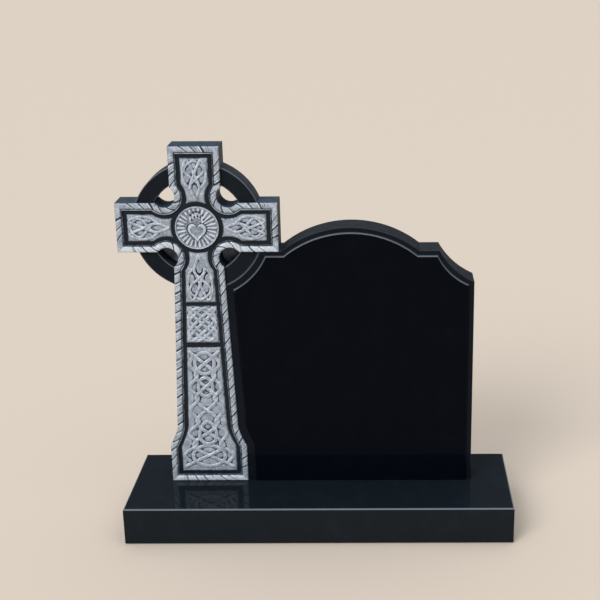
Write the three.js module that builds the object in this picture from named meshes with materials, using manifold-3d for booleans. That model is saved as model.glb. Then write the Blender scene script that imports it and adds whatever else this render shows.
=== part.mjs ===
// Celtic cross headstone: a ringed high cross and a low wing slab cut from one block of granite,
// standing on a separate base block. Millimetres, +Z up, the carved face towards -Y.
// The origin is on the ground under the middle of the base.
import * as THREE from 'three';
import { mergeVertices } from 'three/addons/utils/BufferGeometryUtils.js';
import Module from 'manifold-3d';

const wasm = await Module();
wasm.setup();

// Base block
const BASE_WIDTH = 1005;
const BASE_DEPTH = 325;
const BASE_HEIGHT = 100;
const BASE_ARRIS = 3;
const FRONT_LEDGE = 160;

// Cross outline
const CROSS_HEIGHT = 908;
const CROSS_SPAN = 407;
const CROSS_INDENT = 0;
const ARM_WIDTH = 127;
const CENTRE_HEIGHT = 702;
const PIT_RADIUS = 28;
const PIT_OFFSET = 80;
const SHAFT_FOOT_WIDTH = 161;
const FLARE_TOP = 158;
const FLARE_FOOT = 102;
const FOOT_WIDTH = 203;
const CROSS_THICKNESS = 76;

// Ring behind the arms
const RING_OUTER = 165;
const RING_INNER = 123.5;
const RING_SET_BACK = 11;
const RING_ARRIS = 2.5;
const POCKET_DEPTH = 62;

// Wing slab beside the cross, measured from the axis of the cross
const WING_REACH = 699.5;
const WING_STEP_HEIGHT = 640;
const WING_ARCH_RISE = 61;
const WING_ARCH_RADIUS = 281;
const WING_ARCH_CENTRE = 384.5;
const WING_STEP_END = 609.5;
const WING_SHOULDER_DROP = 83.5;
const SHOULDER_HOLLOW = 20;
const MARGIN_SET_BACK = 6;
const WING_EXTRA_BACK = 12;
const MARGIN_WIDTH = 12;
const PANEL_SET_BACK = 1.5;
const PANEL_BEVEL = 3.5;
const PANEL_RING_GAP = 18;
const PANEL_SHAFT_GAP = 20;

// Carved border and panels of the cross, as widths across the face and depths below its crest
const ROPE_WIDTH = 15;
const ROPE_PITCH = 28;
const ROPE_GROOVE = 3;
const ROPE_SLANT = 12;
const ROPE_RELIEF = 3.5;
const ROPE_SHOULDER = 4;
const CORNER_BLOCK = 13;
const FILLET_GAP = 1;
const FILLET_WIDTH = 3;
const FILLET_DEPTH = 2.5;
const CHANNEL_DEPTH = 6.5;
const PANEL_INSET = 29;
const PANEL_GROUND = 3.5;
const KNOT_CREST = 0.5;
const BAR_WIDTH = 10;
const SQUARE_TOP = 495;
const SQUARE_HEIGHT = 100;
const SQUARE_BAR_FOOT = 13;
const SINK = 1.5;

// Medallion
const MEDALLION_RADIUS = 55;
const MEDALLION_CHANNEL = 11;
const MEDALLION_RIM = 4;
const RAY_COUNT = 32;
const RAY_INNER = 27;
const RAY_WIDTH = 4.6;
const HEART_SIZE = 41;
const HEART_RIM = 0.72;
const HEART_DROP = 3;
const CROWN_RADIUS = 6;
const CROWN_HEIGHT = 31;
const CROWN_SPREAD = 8;
const CROWN_STEP = 4;

// Knotwork
const BAND_WIDTH = 6.4;
const PLAIT_BAND_WIDTH = 5.4;
const BAND_CLEARANCE = 1.3;
const PANEL_MARGIN = 5;
const INNER_EASE = 3;
const OUTER_EASE = 2;
const FLARE_EASE = 5;
const LEAST_STEP = 0.5;

// Facets of the round forms
const HUB_SIDES = 36;
const RING_SIDES = 56;
const PIT_SIDES = 6;

const STONE_COLOUR = 0x14171c;
const BASE_COLOUR = 0x1c2126;

const axisX = -BASE_WIDTH / 2 + CROSS_INDENT + CROSS_SPAN / 2;
const faceY = -BASE_DEPTH / 2 + FRONT_LEDGE;
const centreZ = BASE_HEIGHT + CENTRE_HEIGHT;
const armHalf = ARM_WIDTH / 2;
const wingBack = CROSS_THICKNESS + WING_EXTRA_BACK;

// Closed triangle mesh to solid, and back.
function toSolid(geometry) {
  const bare = geometry.clone();
  bare.deleteAttribute('normal');
  bare.deleteAttribute('uv');
  const merged = mergeVertices(bare, 1e-4);
  return new wasm.Manifold(new wasm.Mesh({
    numProp: 3,
    vertProperties: new Float32Array(merged.attributes.position.array),
    triVerts: new Uint32Array(merged.index.array),
  }));
}

function toGeometry(solid) {
  const mesh = solid.getMesh();
  const geometry = new THREE.BufferGeometry();
  geometry.setAttribute('position', new THREE.BufferAttribute(new Float32Array(mesh.vertProperties), 3));
  geometry.setIndex(new THREE.BufferAttribute(new Uint32Array(mesh.triVerts), 1));
  geometry.computeVertexNormals();
  return geometry;
}

function joinAll(solids) {
  let level = solids;
  while (level.length > 1) {
    const next = [];
    for (let i = 0; i < level.length; i += 2) {
      next.push(i + 1 < level.length ? level[i].add(level[i + 1]) : level[i]);
    }
    level = next;
  }
  return level[0];
}

// A shape drawn in the plane of the face (x from the cross's axis, y the height over the base)
// becomes a slab from the depth `front` to the depth `back` behind the crest of the face. Holes
// are drawn clockwise, as the outlines are.
function slab(points, front, back, holes = [], bevel = 0, bevelDepth = bevel) {
  const shape = new THREE.Shape(points);
  holes.forEach((hole) => shape.holes.push(new THREE.Path([...hole].reverse())));
  const geometry = new THREE.ExtrudeGeometry(shape, {
    depth: back - front - (bevel ? 2 * bevelDepth : 0),
    bevelEnabled: bevel > 0,
    bevelThickness: bevelDepth,
    bevelSize: bevel,
    bevelOffset: -bevel,
    bevelSegments: 1,
    curveSegments: 12,
  });
  geometry.translate(0, 0, -(faceY + back) + (bevel ? bevelDepth : 0));
  geometry.rotateX(Math.PI / 2);
  geometry.translate(axisX, 0, BASE_HEIGHT);
  return toSolid(geometry);
}

// A ring or disc about the middle of the cross: profile of [radius, depth] pairs, front to back
// round the outside.
function turned(profile, segments) {
  const points = profile.map(([radius, depth]) => new THREE.Vector2(radius, faceY + depth));
  const geometry = new THREE.LatheGeometry(points, segments);
  geometry.translate(axisX, 0, centreZ);
  return toSolid(geometry);
}

function disc(radius, front, back, segments = HUB_SIDES) {
  return turned([[0, front], [radius, front], [radius, back], [0, back]], segments);
}

const at = (x, y) => new THREE.Vector2(x, y);

function arcPoints(x, y, radius, from, to, steps) {
  const points = [];
  for (let i = 0; i <= steps; i += 1) {
    const angle = from + ((to - from) * i) / steps;
    points.push(at(x + radius * Math.cos(angle), y + radius * Math.sin(angle)));
  }
  return points;
}

// Half-width of the tapering shaft at a height over the base.
function shaftHalf(height) {
  const top = CENTRE_HEIGHT - PIT_OFFSET;
  const share = THREE.MathUtils.clamp((top - height) / (top - FLARE_TOP), 0, 1);
  return THREE.MathUtils.lerp(armHalf, SHAFT_FOOT_WIDTH / 2, share);
}

// The hollow curve from the shaft out to the foot block, moved in by `inset`.
function flarePoints(inset, steps = 4) {
  const drop = 0.18 * inset;
  const upper = at(SHAFT_FOOT_WIDTH / 2 - inset, FLARE_TOP - drop);
  const lower = at(FOOT_WIDTH / 2 - inset, FLARE_FOOT - drop);
  const middle = at(upper.x + 0.28 * (lower.x - upper.x), (upper.y + lower.y) / 2);
  return new THREE.QuadraticBezierCurve(upper, middle, lower).getPoints(steps);
}

// The cross's outline moved in by `inset`, clockwise from its top left corner, as one run of
// points for each stretch between two square corners.
function outlineRuns(inset, arcSteps = PIT_SIDES) {
  const half = armHalf - inset;
  const span = CROSS_SPAN / 2 - inset;
  const top = CROSS_HEIGHT - inset;
  const radius = PIT_RADIUS + inset;
  const reach = Math.sqrt(radius ** 2 - (PIT_OFFSET - half) ** 2);
  const start = Math.atan2(reach, half - PIT_OFFSET);
  const stop = 2 * Math.PI - Math.atan2(PIT_OFFSET - half, reach);
  const y = CENTRE_HEIGHT;
  const upper = arcPoints(PIT_OFFSET, y + PIT_OFFSET, radius, start, stop, arcSteps);
  const lower = arcPoints(PIT_OFFSET, y - PIT_OFFSET, radius, 2 * Math.PI - stop, 2 * Math.PI - start,
    arcSteps);
  const right = [
    [at(half, top), ...upper, at(span, y + half)],
    [at(span, y + half), at(span, y - half)],
    [at(span, y - half), ...lower, ...flarePoints(inset), at(FOOT_WIDTH / 2 - inset, inset)],
  ];
  const left = right.map((run) => run.map((p) => at(-p.x, p.y)).reverse()).reverse();
  const foot = [right[2][right[2].length - 1], left[0][0]];
  return [[left[2][left[2].length - 1], right[0][0]], ...right, foot, ...left];
}

function outline(inset, arcSteps) {
  return outlineRuns(inset, arcSteps).flatMap((run) => run.slice(0, -1));
}

// Lengths along a polyline, and the point and direction at a length.
function measure(points) {
  const lengths = [0];
  for (let i = 1; i < points.length; i += 1) {
    lengths.push(lengths[i - 1] + points[i].distanceTo(points[i - 1]));
  }
  return lengths;
}

function pointAt(points, lengths, length) {
  let i = 1;
  while (i < points.length - 1 && lengths[i] < length) i += 1;
  const span = lengths[i] - lengths[i - 1];
  const share = span > 0 ? (length - lengths[i - 1]) / span : 0;
  const heading = points[i].clone().sub(points[i - 1]).normalize();
  return { point: points[i - 1].clone().lerp(points[i], share), heading };
}

// One run of the rope border: slanting strands side by side between two corner blocks.
function ropeStrands(run) {
  const lengths = measure(run);
  const total = lengths[lengths.length - 1];
  const count = Math.max(1, Math.round((total - 2 * CORNER_BLOCK) / ROPE_PITCH));
  const pitch = (total - 2 * CORNER_BLOCK) / count;
  const across = [-ROPE_WIDTH / 2 - 1, ROPE_WIDTH / 2 + 1];
  const strands = [];
  for (let k = 0; k < count; k += 1) {
    const from = CORNER_BLOCK + k * pitch + ROPE_GROOVE / 2;
    const to = from + pitch - ROPE_GROOVE;
    const edge = (outward, lengthsAlong) => lengthsAlong.map((along) => {
      const length = THREE.MathUtils.clamp(along - (ROPE_SLANT * outward) / ROPE_WIDTH, 0, total);
      const { point, heading } = pointAt(run, lengths, length);
      return at(point.x - heading.y * outward, point.y + heading.x * outward);
    });
    const outer = edge(across[1], [from, to]);
    const inner = edge(across[0], [to, from]);
    strands.push(slab([...outer, ...inner], 0, ROPE_SHOULDER));
  }
  return strands;
}

// The solid square that stops the rope at each corner of the cross.
function cornerBlock(corner) {
  const size = CORNER_BLOCK;
  const points = [at(-size, -size), at(size, -size), at(size, size), at(-size, size)];
  return slab(points.map((p) => p.add(corner)), 0, ROPE_SHOULDER);
}

function ropeBorder() {
  const runs = outlineRuns(ROPE_WIDTH / 2);
  const pieces = runs.flatMap((run) => ropeStrands(run));
  runs.forEach((run) => pieces.push(cornerBlock(run[0])));
  const strip = slab(outline(0), 0, CHANNEL_DEPTH + SINK, [outline(ROPE_WIDTH)]);
  const bed = slab(outline(0), ROPE_RELIEF, CHANNEL_DEPTH + SINK, [outline(ROPE_WIDTH)]);
  return bed.add(joinAll(pieces).intersect(strip));
}

// Where closed curves cross themselves and each other. Each crossing lists its two visits with
// the length along the curve; then over and under alternate along every curve.
function findCrossings(curves) {
  const visits = curves.map(() => []);
  const crossings = [];
  const segments = curves.flatMap((curve, k) => curve.points.slice(0, -1).map((p, i) => (
    { k, i, p, q: curve.points[i + 1] })));
  for (let a = 0; a < segments.length; a += 1) {
    for (let b = a + 1; b < segments.length; b += 1) {
      const s = segments[a];
      const t = segments[b];
      const count = curves[s.k].points.length - 1;
      const apart = Math.abs(s.i - t.i);
      if (s.k === t.k && (apart <= 1 || apart === count - 1)) continue;
      const d = s.q.clone().sub(s.p);
      const e = t.q.clone().sub(t.p);
      const cross = d.cross(e);
      if (Math.abs(cross) < 1e-9) continue;
      const gap = t.p.clone().sub(s.p);
      const u = gap.cross(e) / cross;
      const v = gap.cross(d) / cross;
      if (u < 0 || u >= 1 || v < 0 || v >= 1) continue;
      const sine = Math.max(0.55, Math.abs(cross) / (d.length() * e.length()));
      const crossing = [
        { k: s.k, length: curves[s.k].lengths[s.i] + u * d.length(), sine },
        { k: t.k, length: curves[t.k].lengths[t.i] + v * e.length(), sine },
      ];
      crossing.forEach((visit, side) => {
        visit.other = crossing[1 - side];
        visits[visit.k].push(visit);
      });
      crossings.push(crossing);
    }
  }
  visits.forEach((list) => list.sort((a, b) => a.length - b.length));
  const waiting = visits.map((_, k) => k);
  while (waiting.length) {
    const k = waiting.find((n) => visits[n].some((visit) => visit.over !== undefined)) ?? waiting[0];
    waiting.splice(waiting.indexOf(k), 1);
    const known = Math.max(0, visits[k].findIndex((visit) => visit.over !== undefined));
    const first = visits[k].length ? visits[k][known].over ?? true : true;
    visits[k].forEach((visit, n) => {
      visit.over ??= (n - known) % 2 === 0 ? first : !first;
      visit.other.over ??= !visit.over;
    });
  }
  return visits;
}

// Adds a point to an edge unless it lies behind the last one, as it would inside a tight turn.
function pushForward(edge, point, heading) {
  const last = edge[edge.length - 1];
  if (!last || point.clone().sub(last).dot(heading) > LEAST_STEP) edge.push(point);
}

// Flat strips along closed curves, parted where they dip under another strip.
function interlace(curves, bandWidth) {
  const measured = curves.map((points) => ({ points, lengths: measure(points) }));
  const visits = findCrossings(measured);
  const strips = [];
  measured.forEach(({ points, lengths }, k) => {
    const total = lengths[lengths.length - 1];
    const unders = visits[k].filter((visit) => !visit.over);
    unders.forEach((visit, n) => {
      const next = unders[(n + 1) % unders.length];
      const gapHere = (bandWidth / 2 + BAND_CLEARANCE) / visit.sine;
      const gapNext = (bandWidth / 2 + BAND_CLEARANCE) / next.sine;
      const from = visit.length + gapHere;
      const to = next.length + (next.length <= visit.length ? total : 0) - gapNext;
      if (to - from < 2) return;
      const stops = [from];
      for (let turn = 0; turn < 2; turn += 1) {
        lengths.slice(0, -1).forEach((length) => {
          const place = length + turn * total;
          if (place > from + bandWidth / 2 && place < to - bandWidth / 2) stops.push(place);
        });
      }
      stops.push(to);
      const left = [];
      const right = [];
      stops.forEach((place) => {
        const here = pointAt(points, lengths, place % total);
        const before = pointAt(points, lengths, (place - 0.8 + total) % total).point;
        const after = pointAt(points, lengths, (place + 0.8) % total).point;
        const heading = after.sub(before).normalize();
        const side = at(-heading.y, heading.x).multiplyScalar(bandWidth / 2);
        pushForward(left, here.point.clone().add(side), heading);
        pushForward(right, here.point.clone().sub(side), heading);
      });
      strips.push(slab([...left, ...right.reverse()], KNOT_CREST, PANEL_GROUND + SINK));
    });
  });
  return strips;
}

// A panel's own frame: `along` runs from 0 at its inner end to 1 at its outer end, `across` from
// -1 to 1 between its sides.
function panelFrame(inner, outer, halfInner, halfOuter) {
  const heading = outer.clone().sub(inner);
  const side = at(heading.y, -heading.x).normalize();
  return (across, along) => {
    const half = THREE.MathUtils.lerp(halfInner, halfOuter, along) - PANEL_MARGIN;
    return inner.clone().addScaledVector(heading, along).addScaledVector(side, across * half);
  };
}

function closedCurve(place, steps) {
  const points = [];
  for (let i = 0; i <= steps; i += 1) points.push(place((2 * Math.PI * (i % steps)) / steps));
  return points;
}

const ridge = (angle) => Math.asin(0.9 * Math.sin(angle)) / Math.asin(0.9);
const zigzag = (angle) => Math.acos(Math.cos(angle)) / Math.PI;

// A figure of eight lying across the panel: two side loops.
function sideLoops(frame, width, middle, reach) {
  return closedCurve((t) => frame(width * Math.sin(t), middle + reach * Math.sin(2 * t)), 22);
}

// A pointed figure of eight, its point at the inner end, woven through a pair of side loops.
function armKnot(frame) {
  const eight = closedCurve((t) => {
    const along = 0.04 + 0.9 * zigzag(t);
    return frame((0.3 + 0.68 * along) * Math.sin(2 * t), along);
  }, 22);
  return interlace([eight, sideLoops(frame, 0.94, 0.64, 0.25)], BAND_WIDTH);
}

// A close diagonal plait of one endless band that turns at the panel's sides.
function plait(frame, turnsAcross, turnsAlong) {
  const phase = Math.PI / (2 * turnsAcross);
  const band = closedCurve((t) => (
    frame(ridge(turnsAlong * t + phase + Math.PI / 2), 0.5 + 0.45 * ridge(turnsAcross * t + Math.PI / 2))),
  24 * 3);
  return interlace([band], PLAIT_BAND_WIDTH);
}

// The long panel: a band along its sides, a great figure of eight, and a knot in each loop.
function longKnot(frame) {
  const square = (value) => Math.sign(value) * Math.sqrt(Math.abs(value));
  const side = closedCurve((t) => frame(0.72 * square(Math.cos(t)), 0.51 + 0.45 * square(Math.sin(t))), 24);
  const eight = closedCurve((t) => frame(0.98 * Math.sin(2 * t), 0.51 + 0.46 * Math.cos(t)), 34);
  const lobes = closedCurve((t) => (
    frame(0.5 * Math.cos(2 * t + Math.PI / 6), 0.27 + 0.13 * Math.cos(3 * t))), 27);
  return interlace([side, eight, sideLoops(frame, 0.52, 0.77, 0.12), lobes], BAND_WIDTH);
}

// The carved panels: grounds with a dark channel round them, and the knots that stand on them.
function carvedPanels() {
  const ground = slab(outline(PANEL_INSET, 6), PANEL_GROUND, CHANNEL_DEPTH + SINK);
  const bar = (top, height) => slab([
    at(-FOOT_WIDTH, top - height), at(FOOT_WIDTH, top - height), at(FOOT_WIDTH, top), at(-FOOT_WIDTH, top),
  ], 0, CHANNEL_DEPTH);
  const clearing = disc(MEDALLION_RADIUS + MEDALLION_CHANNEL, 0, CHANNEL_DEPTH);
  const squareFoot = SQUARE_TOP - SQUARE_HEIGHT;
  const bars = [bar(SQUARE_TOP + BAR_WIDTH, BAR_WIDTH), bar(squareFoot, SQUARE_BAR_FOOT)];
  const grounds = ground.subtract(joinAll([clearing, ...bars]));

  const innerEnd = MEDALLION_RADIUS + MEDALLION_CHANNEL;
  const narrow = PIT_OFFSET - PIT_RADIUS - PANEL_INSET + INNER_EASE;
  const wide = armHalf - PANEL_INSET + OUTER_EASE;
  const armEnd = CROSS_SPAN / 2 - PANEL_INSET;
  const topEnd = CROSS_HEIGHT - CENTRE_HEIGHT - PANEL_INSET;
  const shaftEnd = CENTRE_HEIGHT - SQUARE_TOP - BAR_WIDTH;
  const from = (x, y, x2, y2, halfInner, halfOuter) => (
    panelFrame(at(x, CENTRE_HEIGHT + y), at(x2, CENTRE_HEIGHT + y2), halfInner, halfOuter));
  const longTop = squareFoot - SQUARE_BAR_FOOT;
  const longFoot = PANEL_INSET;
  const half = (height) => shaftHalf(height) - PANEL_INSET;
  const knots = [
    ...armKnot(from(0, innerEnd, 0, topEnd, narrow, wide)),
    ...armKnot(from(-innerEnd, 0, -armEnd, 0, narrow, wide)),
    ...armKnot(from(innerEnd, 0, armEnd, 0, narrow, wide)),
    ...armKnot(from(0, -innerEnd, 0, -shaftEnd, narrow, wide)),
    ...plait(panelFrame(at(0, squareFoot), at(0, SQUARE_TOP), half(squareFoot), half(SQUARE_TOP)), 5, 7),
    ...longKnot(panelFrame(at(0, longFoot), at(0, longTop), half(FLARE_TOP) + FLARE_EASE, half(longTop))),
  ];
  return joinAll([grounds, ...knots]);
}

// The medallion: a rimmed disc with rays, and a heart under a small crown of flames.
function medallion() {
  const plate = disc(MEDALLION_RADIUS, PANEL_GROUND, CHANNEL_DEPTH + SINK);
  const edge = turned([
    [MEDALLION_RADIUS - MEDALLION_RIM, KNOT_CREST], [MEDALLION_RADIUS, KNOT_CREST],
    [MEDALLION_RADIUS, PANEL_GROUND + SINK], [MEDALLION_RADIUS - MEDALLION_RIM, PANEL_GROUND + SINK],
    [MEDALLION_RADIUS - MEDALLION_RIM, KNOT_CREST],
  ], HUB_SIDES);
  const y = CENTRE_HEIGHT;
  const rays = [];
  for (let k = 0; k < RAY_COUNT; k += 1) {
    const angle = (2 * Math.PI * (k + 0.5)) / RAY_COUNT;
    const out = at(Math.cos(angle), Math.sin(angle));
    const side = at(-out.y, out.x);
    const inner = RAY_INNER + (out.y > 0.85 ? CROWN_HEIGHT - RAY_INNER + CROWN_RADIUS : 0);
    const corner = (radius, offset) => (
      out.clone().multiplyScalar(radius).addScaledVector(side, offset).add(at(0, y)));
    const outer = MEDALLION_RADIUS - MEDALLION_RIM - 1;
    rays.push(slab([
      corner(inner, -RAY_WIDTH / 3), corner(outer, -RAY_WIDTH / 2),
      corner(outer, RAY_WIDTH / 2), corner(inner, RAY_WIDTH / 3),
    ], KNOT_CREST + 0.5, PANEL_GROUND + SINK));
  }
  const heart = (size) => closedCurve((t) => at(
    (size / 2) * Math.sin(t) ** 3,
    y - HEART_DROP + (size / 32) * (13 * Math.cos(t) - 5 * Math.cos(2 * t) - 2 * Math.cos(3 * t)
      - Math.cos(4 * t)),
  ), 22).slice(0, -1);
  const rim = slab(heart(HEART_SIZE), 0, PANEL_GROUND + SINK, [heart(HEART_SIZE * HEART_RIM)]);
  const field = slab(heart(HEART_SIZE * 0.9), KNOT_CREST + 1, PANEL_GROUND + SINK);
  const flames = [-1, 0, 1].map((k) => {
    const middle = y + CROWN_HEIGHT - Math.abs(k) * CROWN_STEP - CROWN_RADIUS;
    const points = arcPoints(k * CROWN_SPREAD, middle, CROWN_RADIUS, 0, 2 * Math.PI, 10).slice(0, -1);
    return slab(points, 0, PANEL_GROUND + SINK);
  });
  return joinAll([plate, edge, rim, field, ...rays, ...flames]);
}

// The wing slab's outline moved in by `inset`; its left side hides inside the shaft.
function wingOutline(inset, leftSide) {
  const step = WING_STEP_HEIGHT - inset;
  const radius = WING_ARCH_RADIUS - inset;
  const middle = WING_STEP_HEIGHT + WING_ARCH_RISE - WING_ARCH_RADIUS;
  const lift = Math.asin((step - middle) / radius);
  const arch = arcPoints(WING_ARCH_CENTRE, middle, radius, Math.PI - lift, lift, 20);
  const upper = at(WING_STEP_END - 0.33 * inset, step);
  const lower = at(WING_REACH - inset, WING_STEP_HEIGHT - WING_SHOULDER_DROP - 0.6 * inset);
  const chord = lower.clone().sub(upper);
  const inward = at(chord.y, -chord.x).normalize().multiplyScalar(SHOULDER_HOLLOW);
  const middlePoint = upper.clone().add(lower).multiplyScalar(0.5).add(inward);
  const shoulder = new THREE.QuadraticBezierCurve(upper, middlePoint, lower).getPoints(8);
  return [...leftSide, ...arch, ...shoulder, at(WING_REACH - inset, 0)];
}

function wing() {
  const hidden = 8;
  const inside = [at(FOOT_WIDTH / 2 - hidden, 0), at(FOOT_WIDTH / 2 - hidden, FLARE_FOOT),
    at(SHAFT_FOOT_WIDTH / 2 - hidden, FLARE_TOP), at(armHalf - hidden, WING_STEP_HEIGHT)];
  const body = slab(wingOutline(0, inside), MARGIN_SET_BACK, wingBack);
  const ringSeat = turned([
    [0, -SINK], [RING_OUTER + RING_SET_BACK - MARGIN_SET_BACK, -SINK],
    [RING_OUTER + (RING_SET_BACK - MARGIN_SET_BACK) / 2, MARGIN_SET_BACK],
    [RING_OUTER, RING_SET_BACK], [RING_OUTER - SINK, RING_SET_BACK + SINK],
    [RING_OUTER - SINK, wingBack + SINK], [0, wingBack + SINK],
  ], RING_SIDES);
  const gap = PANEL_SHAFT_GAP;
  const beside = [
    at(FOOT_WIDTH / 2 + gap, 0),
    ...flarePoints(-gap, 4).reverse(),
    at(armHalf + gap, WING_STEP_HEIGHT - MARGIN_WIDTH),
  ];
  const panel = slab(wingOutline(MARGIN_WIDTH, beside), PANEL_SET_BACK, MARGIN_SET_BACK + PANEL_BEVEL * 3,
    [], PANEL_BEVEL, MARGIN_SET_BACK - PANEL_SET_BACK);
  const clear = RING_OUTER + PANEL_RING_GAP;
  const ringMargin = turned([
    [0, -SINK], [clear + PANEL_BEVEL, -SINK], [clear + PANEL_BEVEL, PANEL_SET_BACK],
    [clear, MARGIN_SET_BACK], [clear, wingBack], [0, wingBack],
  ], RING_SIDES);
  const aboveBase = slab([at(0, 0), at(WING_REACH, 0), at(WING_REACH, CROSS_HEIGHT), at(0, CROSS_HEIGHT)],
    0, wingBack);
  return body.subtract(ringSeat).add(panel.subtract(ringMargin).intersect(aboveBase));
}

function ring() {
  const back = CROSS_THICKNESS;
  const front = RING_SET_BACK;
  const hoop = turned([
    [RING_INNER + RING_ARRIS, front], [RING_OUTER - RING_ARRIS, front], [RING_OUTER, front + RING_ARRIS],
    [RING_OUTER, back], [RING_INNER, back], [RING_INNER, front + RING_ARRIS],
    [RING_INNER + RING_ARRIS, front],
  ], RING_SIDES);
  const below = slab([at(-RING_OUTER, CENTRE_HEIGHT - RING_OUTER), at(RING_OUTER, CENTRE_HEIGHT - RING_OUTER),
    at(RING_OUTER, CENTRE_HEIGHT), at(-RING_OUTER, CENTRE_HEIGHT)], 0, back);
  const web = disc(RING_INNER + 1, POCKET_DEPTH, back, RING_SIDES).intersect(below);
  return hoop.add(web);
}

function headstone() {
  const body = slab(outline(0), CHANNEL_DEPTH, CROSS_THICKNESS);
  const fillet = slab(outline(ROPE_WIDTH + FILLET_GAP), FILLET_DEPTH, CHANNEL_DEPTH + SINK,
    [outline(ROPE_WIDTH + FILLET_GAP + FILLET_WIDTH)]);
  return joinAll([wing(), ring(), body, ropeBorder(), fillet, carvedPanels(), medallion()]);
}

function baseBlock() {
  const shape = new THREE.Shape([
    at(-BASE_WIDTH / 2, -BASE_DEPTH / 2), at(BASE_WIDTH / 2, -BASE_DEPTH / 2),
    at(BASE_WIDTH / 2, BASE_DEPTH / 2), at(-BASE_WIDTH / 2, BASE_DEPTH / 2),
  ]);
  const geometry = new THREE.ExtrudeGeometry(shape, {
    depth: BASE_HEIGHT - 2 * BASE_ARRIS,
    bevelEnabled: true,
    bevelThickness: BASE_ARRIS,
    bevelSize: BASE_ARRIS,
    bevelOffset: -BASE_ARRIS,
    bevelSegments: 1,
  });
  geometry.translate(0, 0, BASE_ARRIS);
  return toSolid(geometry);
}

function named(name, solid, colour, roughness) {
  const material = new THREE.MeshStandardMaterial({ color: colour, roughness, metalness: 0 });
  const mesh = new THREE.Mesh(toGeometry(solid), material);
  mesh.name = name;
  return mesh;
}

const group = new THREE.Group();
group.add(named('base', baseBlock(), BASE_COLOUR, 0.12));
group.add(named('headstone', headstone(), STONE_COLOUR, 0.2));

export default group;
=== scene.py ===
"""Celtic cross headstone: the looks of a ringed granite high cross with a wing slab, on its base."""

import bpy
import numpy as np
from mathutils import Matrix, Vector


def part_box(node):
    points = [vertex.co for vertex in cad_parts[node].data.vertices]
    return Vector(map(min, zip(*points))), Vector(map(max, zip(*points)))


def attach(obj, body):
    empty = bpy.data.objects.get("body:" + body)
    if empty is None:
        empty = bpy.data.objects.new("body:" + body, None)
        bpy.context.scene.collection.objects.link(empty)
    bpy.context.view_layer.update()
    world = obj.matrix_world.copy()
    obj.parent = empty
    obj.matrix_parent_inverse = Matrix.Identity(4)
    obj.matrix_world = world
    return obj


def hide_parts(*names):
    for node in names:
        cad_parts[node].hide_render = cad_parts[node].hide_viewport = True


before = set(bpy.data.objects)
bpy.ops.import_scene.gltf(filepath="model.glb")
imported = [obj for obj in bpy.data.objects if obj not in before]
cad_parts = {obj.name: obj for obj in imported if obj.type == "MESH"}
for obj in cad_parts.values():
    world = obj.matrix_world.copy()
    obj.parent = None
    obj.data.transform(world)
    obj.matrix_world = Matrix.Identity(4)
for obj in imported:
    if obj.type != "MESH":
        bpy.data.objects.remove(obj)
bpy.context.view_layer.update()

MM = 0.001

# The base: one sawn block of black granite, polished on its top and sides, with a small
# chamfer ground along every arris. It lies level and carries the headstone by its weight.
base_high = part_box("base")[1]
base_top = base_high.z
base_arris = 3 * MM
slack = 0.1 * MM
granite_grain = 1.6 * MM
granite_cloud = 60 * MM
polish_haze = 35 * MM
# The grey of a ground arris, laid on only where it also serves as a painted highlight.
arris_grey_and_highlight = "#626a73"


def linear(hex_colour):
    """sRGB hex colour to linear RGBA."""
    srgb = np.array([int(hex_colour[i:i + 2], 16) for i in (1, 3, 5)]) / 255
    rgb = np.where(srgb <= 0.04045, srgb / 12.92, ((srgb + 0.055) / 1.055) ** 2.4)
    return (*rgb.tolist(), 1.0)


def add_node(material, kind, links=(), inputs=(), **settings):
    """A node of a kind with its settings, its input values, and links as (input, from socket)."""
    node = material.node_tree.nodes.new(kind)
    for name, value in settings.items():
        setattr(node, name, value)
    sockets = {socket.name: socket for socket in node.inputs if socket.enabled}
    for name, value in dict(inputs).items():
        socket = node.inputs[name] if isinstance(name, int) else sockets[name]
        socket.default_value = value
    for name, source in links:
        socket = node.inputs[name] if isinstance(name, int) else sockets[name]
        material.node_tree.links.new(socket, source)
    return node


def colour_steps(ramp, steps):
    """Sets a colour ramp's stops from (position, hex colour) pairs."""
    elements = ramp.color_ramp.elements
    while len(elements) < len(steps):
        elements.new(0.5)
    for element, (position, colour) in zip(elements, steps):
        element.position = position
        element.color = linear(colour)


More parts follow.
